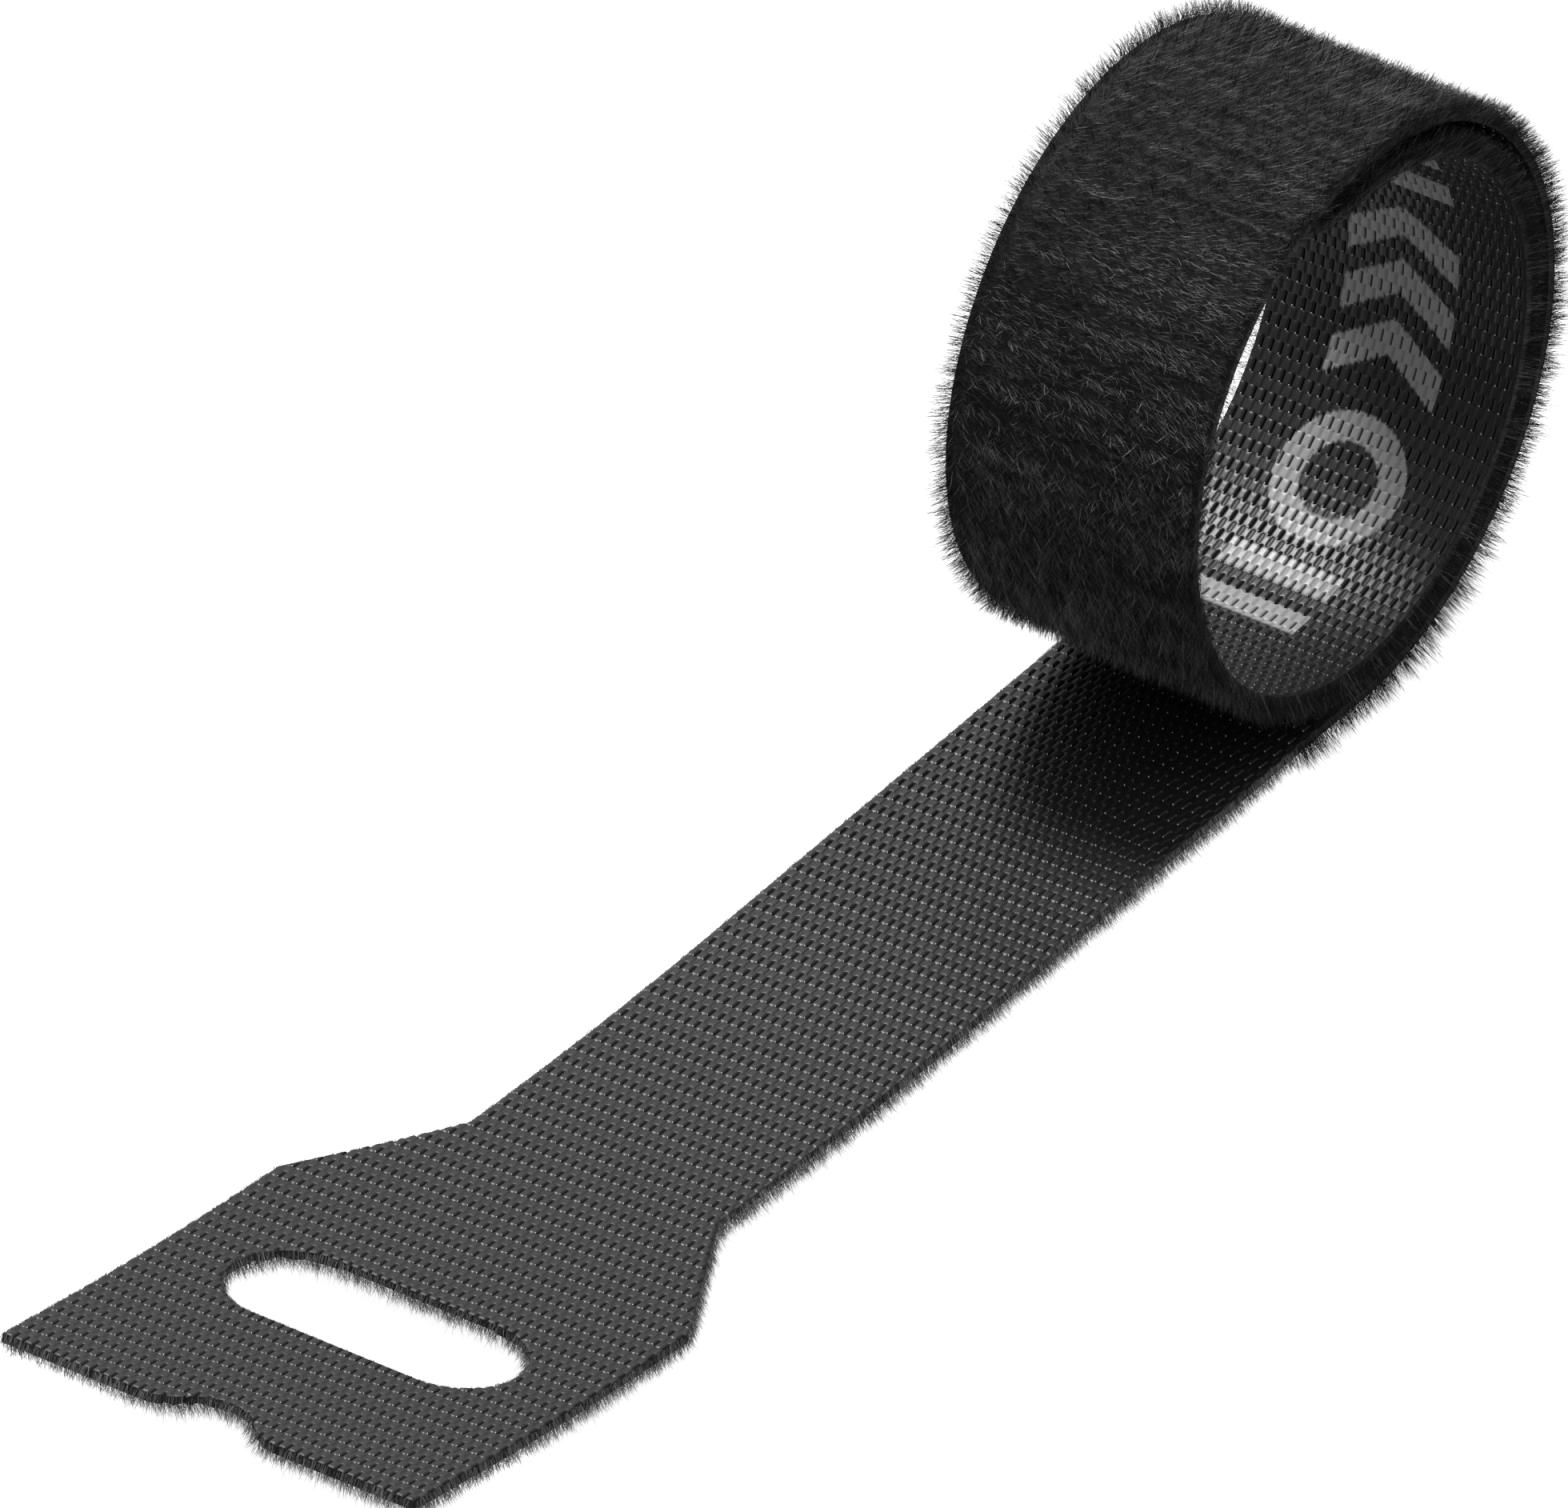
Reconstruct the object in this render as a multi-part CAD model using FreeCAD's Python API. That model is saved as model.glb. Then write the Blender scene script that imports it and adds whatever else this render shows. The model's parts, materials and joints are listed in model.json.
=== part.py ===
"""Reusable hook-and-loop cable tie: a slotted head, a flat band and a rolled-up tail.

The strap is a laminate of two tapes bonded back to back. The hook tape is the woven face, on
top of the band and inside the coil. The loop tape is the soft pile face, under the band and
outside the coil. Bending is modelled by hinges on the bond line, so each tape is cut into one
solid per rigid length, with end faces that leave room for the hinge to turn.

Frame: millimetres, +X along the strap from the head to the coil, +Y across it, +Z up. The
origin is on the underside of the band, at the middle of its flat stretch, and the strap rests
on z = 0.
"""
import FreeCAD, Part
import math
import os

# Widths and thicknesses
STRAP_WIDTH = 20.0
HOOK_THICKNESS = 0.6
LOOP_THICKNESS = 1.4
STRAP_THICKNESS = HOOK_THICKNESS + LOOP_THICKNESS

# Head: its straight sides, then a taper down to the strap
HEAD_WIDTH = 33.2
HEAD_SIDE_LENGTH = 32.0
HEAD_TAPER_LENGTH = 13.0
HEAD_LENGTH = 46.0
HEAD_RISE_DEG = 11.0
SLOT_DISTANCE = 19.5
SLOT_LENGTH = 22.8
SLOT_WIDTH = 9.8
NOTCH_HALF_WIDTH = 5.5
NOTCH_DEPTH = 2.8

# Lengths along the woven face
FLAT_FRONT_LENGTH = 6.0
SWEEP_LENGTH = 67.0
BAND_LENGTH = 48.0
BAND_PIECES = 3
TAIL_LENGTH = 7.0
TAIL_CORNER_RADIUS = 2.0
TAIL_TIP_PILE = 0.25

# Coil: a spiral whose radius, measured on the woven face, shrinks at each piece
COIL_TURN_DEG = 540.0
COIL_PIECES = 24
COIL_START_RADIUS = 22.1
COIL_END_RADIUS = 18.2

# Hinges: how far each one lifts or drops, and the gap between two pieces at the bond line
SEAM_GAP = 0.2
HEAD_LIFT_DEG = 24.0
HEAD_DROP_DEG = 3.5
BAND_LIFT_DEG = 12.0
COIL_FLEX_DEG = COIL_TURN_DEG / COIL_PIECES

# Worked out from the above
SWEEP_RADIUS = SWEEP_LENGTH / math.radians(HEAD_RISE_DEG)
CUTTER_REACH = 8.0
FREE_END = (0.0, 0.0, 0.0)


def moved_along(place, length, radius):
    """The place (x, z, heading) after a straight, or after an arc that turns upwards."""
    x, z, heading = place
    if radius is None:
        return (x + length * math.cos(heading), z + length * math.sin(heading), heading)
    turned = heading + length / radius
    return (x + radius * (math.sin(turned) - math.sin(heading)),
            z - radius * (math.cos(turned) - math.cos(heading)), turned)


def strap_pieces():
    """Each rigid length as (name, runs), where a run is (place, length, radius)."""
    head_arc = HEAD_LENGTH - FLAT_FRONT_LENGTH
    plan = [("head", [(FLAT_FRONT_LENGTH, None), (head_arc, SWEEP_RADIUS)]),
            ("neck", [(SWEEP_LENGTH - head_arc, SWEEP_RADIUS)])]
    for number in range(1, BAND_PIECES + 1):
        plan.append(("band_%d" % number, [(BAND_LENGTH / BAND_PIECES, None)]))
    for number in range(1, COIL_PIECES + 1):
        share = (number - 0.5) / COIL_PIECES
        radius = COIL_START_RADIUS + (COIL_END_RADIUS - COIL_START_RADIUS) * share
        length = radius * math.radians(COIL_FLEX_DEG)
        plan.append(("coil_%02d" % number, [(length, radius)]))
    plan.append(("tail", [(TAIL_LENGTH, None)]))

    place = moved_along((0.0, 0.0, -math.radians(HEAD_RISE_DEG)), FLAT_FRONT_LENGTH, None)
    place = moved_along(place, SWEEP_LENGTH, SWEEP_RADIUS)
    middle_x, middle_z, _ = moved_along(place, BAND_LENGTH / 2, None)

    place = (-middle_x, STRAP_THICKNESS - middle_z, -math.radians(HEAD_RISE_DEG))
    pieces = []
    for name, runs in plan:
        placed = []
        for length, radius in runs:
            placed.append((place, length, radius))
            place = moved_along(place, length, radius)
        pieces.append((name, placed))
    return pieces


def hinge_bevels(names):
    """For the hinge after each piece: (gap, hook bevel, loop bevel), angles in radians.

    A bevel is half the turn that closes that side of the strap. Unrolling the coil and
    dropping the head close the loop side. Lifting the head or the band closes the hook side.
    """
    bevels = {}
    for name, following in zip(names, names[1:]):
        if following == "coil_01" or following == "tail":
            hook, loop = 0.0, COIL_FLEX_DEG / 4
        elif following.startswith("coil"):
            hook, loop = 0.0, COIL_FLEX_DEG / 2
        elif following.startswith("band") and name.startswith("band"):
            hook, loop = BAND_LIFT_DEG / 2, 0.0
        else:
            hook, loop = HEAD_LIFT_DEG / 2, HEAD_DROP_DEG / 2
        bevels[name] = (SEAM_GAP / 2, math.radians(hook), math.radians(loop))
    return bevels


def setback(end, depth):
    """How far an end face stands back from its hinge plane, at a depth below the woven face."""
    gap, hook_bevel, loop_bevel = end
    if depth < HOOK_THICKNESS:
        return gap + (HOOK_THICKNESS - depth) * math.tan(hook_bevel)
    return gap + (depth - HOOK_THICKNESS) * math.tan(loop_bevel)


def point_on(run, distance, depth):
    place, _, radius = run
    x, z, heading = moved_along(place, distance, radius)
    return FreeCAD.Vector(x + depth * math.sin(heading), 0, z - depth * math.cos(heading))


def edge_on(run, start, end, depth):
    first, last = point_on(run, start, depth), point_on(run, end, depth)
    if run[2] is None:
        return Part.LineSegment(first, last).toShape()
    return Part.Arc(first, point_on(run, (start + end) / 2, depth), last).toShape()


def edges_along(runs, depth, start_end, far_end):
    """The edges of a layer's face at one depth, set back from the hinges at both ends."""
    edges = []
    for index, run in enumerate(runs):
        _, length, radius = run
        shrink = 1.0 if radius is None else radius / (radius + depth)
        start = setback(start_end, depth) * shrink if index == 0 else 0.0
        end = length - (setback(far_end, depth) * shrink if index == len(runs) - 1 else 0.0)
        edges.append(edge_on(run, start, end, depth))
    return edges


def layer_solid(runs, top, bottom, width, start_end, far_end):
    """One tape between two depths, along the runs, extruded across the strap."""
    upper = edges_along(runs, top, start_end, far_end)
    lower = edges_along(runs, bottom, start_end, far_end)
    closing = [Part.LineSegment(upper[0].Vertexes[0].Point, lower[0].Vertexes[0].Point).toShape(),
               Part.LineSegment(upper[-1].Vertexes[-1].Point, lower[-1].Vertexes[-1].Point).toShape()]
    face = Part.Face(Part.Wire(Part.__sortEdges__(upper + lower + closing)))
    face.translate(FreeCAD.Vector(0, -width / 2, 0))
    return face.extrude(FreeCAD.Vector(0, width, 0))


def plan_prism(edges, place):
    """A prism through the strap, from an outline in plan: x along the heading, y across."""
    x, z, heading = place
    prism = Part.Face(Part.Wire(Part.__sortEdges__(edges))).extrude(
        FreeCAD.Vector(0, 0, 2 * CUTTER_REACH))
    prism.translate(FreeCAD.Vector(0, 0, -CUTTER_REACH))
    prism.rotate(FreeCAD.Vector(0, 0, 0), FreeCAD.Vector(0, 1, 0), -math.degrees(heading))
    prism.translate(FreeCAD.Vector(x, 0, z))
    return prism


def line(first, last):
    return Part.LineSegment(FreeCAD.Vector(*first, 0), FreeCAD.Vector(*last, 0)).toShape()


def arc(centre, radius, start_deg, end_deg):
    """An arc from one angle to the other, through the angle halfway between them."""
    points = []
    for angle in (start_deg, (start_deg + end_deg) / 2, end_deg):
        turn = math.radians(angle)
        points.append(FreeCAD.Vector(centre[0] + radius * math.cos(turn),
                                     centre[1] + radius * math.sin(turn), 0))
    return Part.Arc(*points).toShape()


def head_outline(front):
    """The head in plan, from its front edge: a shallow thumb notch, sides and a taper."""
    half = HEAD_WIDTH / 2
    shoulder = front + HEAD_SIDE_LENGTH
    neck = shoulder + HEAD_TAPER_LENGTH
    rear = front + HEAD_LENGTH + CUTTER_REACH
    bend = 2 * math.atan(NOTCH_DEPTH / NOTCH_HALF_WIDTH)
    radius = NOTCH_HALF_WIDTH / (2 * math.sin(bend))
    bend_deg = math.degrees(bend)
    edges = [arc((front + NOTCH_DEPTH - radius, 0), radius, bend_deg, -bend_deg)]
    for side in (1, -1):
        corner_centre = (front + radius, side * NOTCH_HALF_WIDTH)
        edges += [arc(corner_centre, radius, 180, 180 + side * bend_deg),
                  line((front, side * NOTCH_HALF_WIDTH), (front, side * half)),
                  line((front, side * half), (shoulder, side * half)),
                  line((shoulder, side * half), (neck, side * STRAP_WIDTH / 2)),
                  line((neck, side * STRAP_WIDTH / 2), (rear, side * STRAP_WIDTH / 2))]
    edges.append(line((rear, STRAP_WIDTH / 2), (rear, -STRAP_WIDTH / 2)))
    return edges


def slot_outline(centre):
    """A slot with round ends, lying across the strap."""
    radius = SLOT_WIDTH / 2
    reach = SLOT_LENGTH / 2 - radius
    return [arc((centre, reach), radius, 0, 180),
            arc((centre, -reach), radius, 180, 360),
            line((centre - radius, reach), (centre - radius, -reach)),
            line((centre + radius, reach), (centre + radius, -reach))]


def shaped_head(blank, runs):
    """Cut the head's outline and its slot, square to the strap at the slot."""
    arc_start, _, radius = runs[1]
    slot_place = moved_along(arc_start, SLOT_DISTANCE - FLAT_FRONT_LENGTH, radius)
    outline = plan_prism(head_outline(-SLOT_DISTANCE), slot_place)
    slot = plan_prism(slot_outline(0.0), slot_place)
    return blank.common(outline).cut(slot)


def shaped_tail(blank, runs):
    """Round the two corners of the tip."""
    place, length, _ = runs[0]
    half, corner = STRAP_WIDTH / 2, TAIL_CORNER_RADIUS
    centre_x, centre_y = length - corner, half - corner
    edges = [line((-CUTTER_REACH, -half), (-CUTTER_REACH, half)),
             line((length, -centre_y), (length, centre_y)),
             arc((centre_x, centre_y), corner, 0, 90),
             arc((centre_x, -centre_y), corner, -90, 0)]
    for side in (1, -1):
        edges.append(line((-CUTTER_REACH, side * half), (centre_x, side * half)))
    return blank.common(plan_prism(edges, place))


def tail_loop_solid(runs, start_end):
    """The tail's pile, which is pressed thin towards the tip."""
    run = runs[0]
    length = run[1]
    tip_depth = HOOK_THICKNESS + TAIL_TIP_PILE
    corners = [point_on(run, setback(start_end, HOOK_THICKNESS), HOOK_THICKNESS),
               point_on(run, length, HOOK_THICKNESS),
               point_on(run, length, tip_depth),
               point_on(run, setback(start_end, STRAP_THICKNESS), STRAP_THICKNESS)]
    face = Part.Face(Part.makePolygon(corners + corners[:1]))
    face.translate(FreeCAD.Vector(0, -STRAP_WIDTH / 2, 0))
    return face.extrude(FreeCAD.Vector(0, STRAP_WIDTH, 0))


def build():
    """Every node's solid by name."""
    pieces = strap_pieces()
    bevels = hinge_bevels([name for name, _ in pieces])
    nodes = {}
    start_end = FREE_END
    for name, runs in pieces:
        far_end = bevels.get(name, FREE_END)
        width = HEAD_WIDTH if name == "head" else STRAP_WIDTH
        hook = layer_solid(runs, 0.0, HOOK_THICKNESS, width, start_end, far_end)
        if name == "tail":
            hook = shaped_tail(hook, runs)
            loop = shaped_tail(tail_loop_solid(runs, start_end), runs)
        else:
            loop = layer_solid(runs, HOOK_THICKNESS, STRAP_THICKNESS, width, start_end, far_end)
        if name == "head":
            hook, loop = shaped_head(hook, runs), shaped_head(loop, runs)
        nodes[name + "_hook_tape"] = hook
        nodes[name + "_loop_tape"] = loop
        start_end = far_end
    return nodes


def hinge_points():
    """The bond-line point at the start of each piece after the head, as (name, x, z)."""
    points = []
    for name, runs in strap_pieces()[1:]:
        corner = point_on(runs[0], 0.0, HOOK_THICKNESS)
        points.append((name, corner.x, corner.z))
    return points


os.makedirs("parts", exist_ok=True)
for node_name, solid in build().items():
    if solid.ShapeType == "Compound" and len(solid.Solids) == 1:
        solid = solid.Solids[0]
    print("%-20s %9.3f mm3 valid %s" % (node_name, solid.Volume, solid.isValid()))
    solid.exportStep("parts/%s.step" % node_name)
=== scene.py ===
"""A reusable hook-and-loop cable tie: slotted head, flat band and rolled-up tail.

The strap is made in its own coordinates and then bent onto the frame: s runs along the woven
face from the head's front edge, y across it, and depth down through the strap. It is cut
into sections within each rigid CAD length, so that each section spans one hinge. The
first and last sections have no hinge, and ride on one body; the others stay where placed.
"""
import bpy
import json
import math
import numpy as np
from mathutils import Matrix, Vector

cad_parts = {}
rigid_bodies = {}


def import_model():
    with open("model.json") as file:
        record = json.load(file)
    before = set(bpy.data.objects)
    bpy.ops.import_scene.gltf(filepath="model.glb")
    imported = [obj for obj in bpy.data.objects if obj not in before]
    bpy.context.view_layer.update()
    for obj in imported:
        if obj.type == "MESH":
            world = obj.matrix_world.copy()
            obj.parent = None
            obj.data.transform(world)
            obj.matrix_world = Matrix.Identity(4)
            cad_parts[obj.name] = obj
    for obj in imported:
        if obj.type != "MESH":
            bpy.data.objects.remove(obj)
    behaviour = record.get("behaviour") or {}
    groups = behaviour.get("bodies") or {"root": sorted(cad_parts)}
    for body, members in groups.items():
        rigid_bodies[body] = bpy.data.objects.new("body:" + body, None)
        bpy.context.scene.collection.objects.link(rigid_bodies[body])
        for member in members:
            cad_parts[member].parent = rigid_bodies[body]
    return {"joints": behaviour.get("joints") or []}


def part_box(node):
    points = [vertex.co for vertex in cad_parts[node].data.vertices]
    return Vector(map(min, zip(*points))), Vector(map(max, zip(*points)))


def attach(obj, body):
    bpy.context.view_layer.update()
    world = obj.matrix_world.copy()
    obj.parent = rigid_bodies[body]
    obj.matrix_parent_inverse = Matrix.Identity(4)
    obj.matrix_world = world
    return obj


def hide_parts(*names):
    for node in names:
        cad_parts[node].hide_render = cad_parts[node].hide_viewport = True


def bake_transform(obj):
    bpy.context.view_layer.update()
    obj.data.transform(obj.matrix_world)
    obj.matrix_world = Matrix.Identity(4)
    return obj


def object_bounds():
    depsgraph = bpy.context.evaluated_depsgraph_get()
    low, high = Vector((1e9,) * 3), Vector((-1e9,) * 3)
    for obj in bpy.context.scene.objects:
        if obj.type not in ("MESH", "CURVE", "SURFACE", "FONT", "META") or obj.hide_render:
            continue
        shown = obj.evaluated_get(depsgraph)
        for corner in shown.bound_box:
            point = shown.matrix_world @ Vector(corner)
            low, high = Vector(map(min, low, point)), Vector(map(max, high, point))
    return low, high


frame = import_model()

CAD_LOW, CAD_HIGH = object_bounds()
MM = 0.001

# CAD lengths in the coil, and sections of the looks before it
COIL_COUNT = 24
FLAT_SECTIONS = 5

# The strap's outline, along the woven face from the head's front edge
HEAD_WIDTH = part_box("head_hook_tape")[1].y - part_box("head_hook_tape")[0].y
STRAP_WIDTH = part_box("band_2_hook_tape")[1].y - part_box("band_2_hook_tape")[0].y
HEAD_SIDE_LENGTH = 32.0 * MM
HEAD_TAPER_LENGTH = 13.0 * MM
HEAD_LENGTH = 46.0 * MM
FLAT_FRONT_LENGTH = 6.0 * MM
TAIL_LENGTH = 7.0 * MM
TAIL_CORNER_RADIUS = 2.0 * MM
TAIL_PRESS = 1.15 * MM
SLOT_DISTANCE = 19.5 * MM
SLOT_LENGTH = 22.8 * MM
SLOT_WIDTH = 9.8 * MM
NOTCH_HALF_WIDTH = 5.5 * MM
NOTCH_DEPTH = 2.8 * MM

# Runs of the strap's path: the head's straight front and its arc, the neck, then the band
HEAD_RUNS = 2
BAND_RUN = 3
# A run that turns less than this, in radians, is straight
STRAIGHT_TURN = 1e-4

# Layers, by depth below the woven face
HOOK_THICKNESS = 0.6 * MM
GROUND_BOTTOM = 0.75 * MM
PILE_DEPTH = 2.0 * MM
UPRIGHT_DEPTH = 2.35 * MM

# Weave: two columns of tiles to each repeat along the strap, half a row apart
REPEAT = 1.7125 * MM
ROW = 0.787 * MM
NARROW_GROOVE = 0.066 * MM
WIDE_GROOVE = 0.125 * MM
NARROW_GROOVE_DEPTH = 0.24 * MM
WIDE_GROOVE_DEPTH = 0.06 * MM
CROSS_GROOVE = 0.045 * MM
CROSS_GROOVE_DEPTH = 0.008 * MM
TILE_CROWN = 0.012 * MM
COLUMN_BLUR = 0.05 * MM

# Hooks: (offset along, offset across, size) of those in each repeat, and their shape
HOOK_PLACES = ((0.05 * MM, 0.12 * MM, 1.0), (REPEAT / 2 + 0.05 * MM, -0.2 * MM, 0.3))
HOOK_ROWS = 25
HOOK_MARGIN = 0.3 * MM
HOOK_REACH = 0.055 * MM
HOOK_RADIUS = 0.045 * MM
HOOK_HEADING = math.radians(35)
HOOK_SCATTER = 0.25
HOOK_SINK = 0.03 * MM
HOOK_SIDES = 5
HOOK_STEPS = 6
HOOK_ARC = (-0.25 * math.pi, 1.05 * math.pi)
HOOK_TIP_SHARE = 0.75
HOOK_HEIGHT_SHARE = 0.9
HOOK_SIZES = (0.8, 1.1)
HOOK_SEED = 100

# Pile: where the fibres stand; "rim" rises from 0, this far inside a cut edge, to 1 on it
RIM_BAND = 0.7 * MM
FUR_SEED = 500
FUR_PER_MM2 = 40.0
FUR_MARGIN = 0.01 * MM
HEAD_SHARE = 0.5
RIM_CROWDING = 6.0
SIDE_BAND = 0.3 * MM
SIDE_SHARE = 0.85
SIDE_CROWDING = 2.0
SIDE_CLEARANCE = 0.1 * MM
ROOT_SINK = 0.05 * MM

# Pile: how the fibres lean, as sideways reach for each unit of depth
UPRIGHT_SHARE = 0.2
LEANS = (0.3, 0.95)
UPRIGHT_LEAN = 0.3
UPRIGHT_LAY = 0.2
RIM_STIFFNESS = 0.75
SWIRL_CELL = (1.3 * MM, 1.7 * MM)
SWIRL_NOISE = 3
SWIRL_SCATTER = 1.6
SWIRL_LEAN = 0.3
SCATTER_ALONG = 0.13
SCATTER_ACROSS = 0.2
COMBED = 1.3
BRUSHED = 0.5
STREAK_CELL = (0.36 * MM, 6.0 * MM)
STREAK_NOISE = 5
LEAST_SPLAY = 0.15
FLAT_SPLAY = 0.6
COIL_SPLAY = 1.55
SPLAY_POWER = 1.3
FIBRE_BEND = 0.1

# Pile: the fibres' size, and how deep they may reach
FUR_WIDTH = 0.035 * MM
FUR_OUTLINE = ((0.0, 1.0), (0.4, 0.9), (0.75, 0.6), (1.0, 0.0))
RIM_FINENESS = 0.25
FUR_LENGTH = 1.7 * MM
FUR_LENGTHS = (0.6, 1.1)
UPRIGHT_GAIN = 1.2
TUFT_CELL = (0.9 * MM, 1.4 * MM)
TUFT_NOISE = 9
TUFT_LEAST = 0.85
TUFT_GAIN = 0.3
RIM_TRIM = 0.35
RIM_GAIN = 0.2
RIM_THINNING = 0.75 * MM
RIM_REACH = 0.4 * MM
REACH_SCATTER = (-0.3 * MM, 0.15 * MM)
FLOOR_CLEARANCE = 0.02 * MM

# Pile: the three shades of fibre, from the darkest
FUR_SHADES = (0.52, 0.42, 0.06)
FUR_GREYS = (0.003, 0.026, 0.065)
FUR_GLOSS = (0.05, 0.3, 0.4)
STREAK = 0.6
# painted light and shade at the pile's rim: edge fibres of the flat sections take lighter
# shades, standing in for light through the fringe; those of the coil take darker ones, for its
# shaded cut edges
RIM_PAINTED_LIGHT = 0.6
RIM_PAINTED_SHADE = 0.5

# Mesh lines of the weave, as offsets within one repeat and one row, and its cut edges
REPEAT_LINES = [v * MM for v in (-0.09, -0.03, 0.03, 0.09, 0.3, 0.56,
                                 0.77, 0.83, 0.89, 0.95, 1.15, 1.4)]
ROW_LINES = [v * MM for v in (-0.1, -0.045, 0.0, 0.045, 0.1, 0.22, 0.29, 0.3935, 0.497, 0.567)]
LINE_SPACING = 0.02 * MM
EDGE_PROBE = 0.02 * MM
RIM_PULL = 0.12 * MM
PULL_PASSES = 4
EDGE_ROUND = 0.12 * MM
EDGE_DROP = 0.05 * MM
# painted shade: how much the colour's relief is lowered at a cut edge, darkening the rim and
# walls as if shaded
PAINTED_EDGE_SHADE = 0.09 * MM
GROUND_CELL = 0.8 * MM
GROUND_SPACING = 0.1 * MM

# Numbers with no pattern to them, for the lattice noise
HASH_A = 127.1
HASH_B = 311.7
HASH_SEED = 74.7
HASH_SCALE = 43758.5453

# The printed mark, along the inside of the coil
PRINT_FROM_TIP = 67.0 * MM
PRINT_HEIGHT = 9.0 * MM
PRINT_BARS = (1.5 * MM, 5.5 * MM, 37.0 * MM, 41.0 * MM)
PRINT_CHEVRONS = (21.0 * MM, 25.5 * MM, 30.0 * MM)
PRINT_RINGS = (13.2 * MM, 48.0 * MM)
BAR_WIDTH = 2.1 * MM
CHEVRON_SLOPE = 0.6
CHEVRON_WIDTH = 1.2 * BAR_WIDTH
RING_RADIUS = 3.9 * MM

# Painted shade: the yarn's greys, as (height share, grey), between these depths below the
# tiles;
# the colour darkens deeper in the grooves, standing in for their shade, and the print the same
WEAVE_GREYS_PAINTED_SHADE = [(0.0, 0.0003), (0.5, 0.001), (0.8, 0.0024), (1.0, 0.0032)]
PRINT_GREYS_PAINTED_SHADE = [(0.0, 0.016), (0.6, 0.042), (0.9, 0.072), (1.0, 0.086)]
RELIEF_FLOOR = 0.28 * MM
RELIEF_TOP = 0.02 * MM

# Grain of the yarn and the knit: how fine it is along and across, and (noise, value) stops
GRAIN_PER_METRE = (900.0, 14000.0)
GRAIN_DETAIL = 3.0
PATCHES_PER_METRE = (260.0, 260.0)
PATCH_DETAIL = 2.0
KNIT_PER_METRE = (2600.0, 900.0)
KNIT_DETAIL = 3.0
GRAIN_SHADES = [(0.3, 0.75), (0.7, 1.2)]
PATCH_SHADES = [(0.3, 0.88), (0.7, 1.1)]
KNIT_GREYS = [(0.3, 0.003), (0.7, 0.009)]
YARN_ROUGHNESS = [(0.2, 0.3), (0.8, 0.44)]
GROOVE_ROUGHNESS = 0.95
KNIT_ROUGHNESS = 0.9
FIBRE_ROUGHNESS = 0.55
GRAIN_BUMP = 0.35
GRAIN_DEPTH = 0.02 * MM
WEAVE_GLOSS = 0.125
KNIT_GLOSS = 0.1
# painted highlight: the hooks are far lighter than the tape, so that each shows as a bright
# glint dot
HOOK_GLINT_GREY = 0.14
HOOK_ROUGHNESS = 0.25
HOOK_GLOSS = 0.15
TINT = 1.02

# Camera and light; the key light is (azimuth, elevation, distance, size, power)
VIEW_AZIMUTH = -55.265
VIEW_ELEVATION = 35.448
VIEW_WIDTH = 104.33 * MM
AIM_RIGHT = -3.08 * MM
AIM_UP = -1.975 * MM
LENS_MM = 1500.0
SENSOR_MM = 36.0
CLIP_NEAR = 0.01
CLIP_FAR = 3.0
HORIZON_SKY = 0.1
ZENITH_SKY = 3.5
BACKDROP = 1.05
KEY_LIGHT = (153.0, 61.0, 0.7, 0.2, 18.0)
FLOOR_GREY = 0.1
FLOOR_GLOW = 0.97
FLOOR_ROUGHNESS = 0.8
FLOOR_REACH = 4.0


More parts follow.
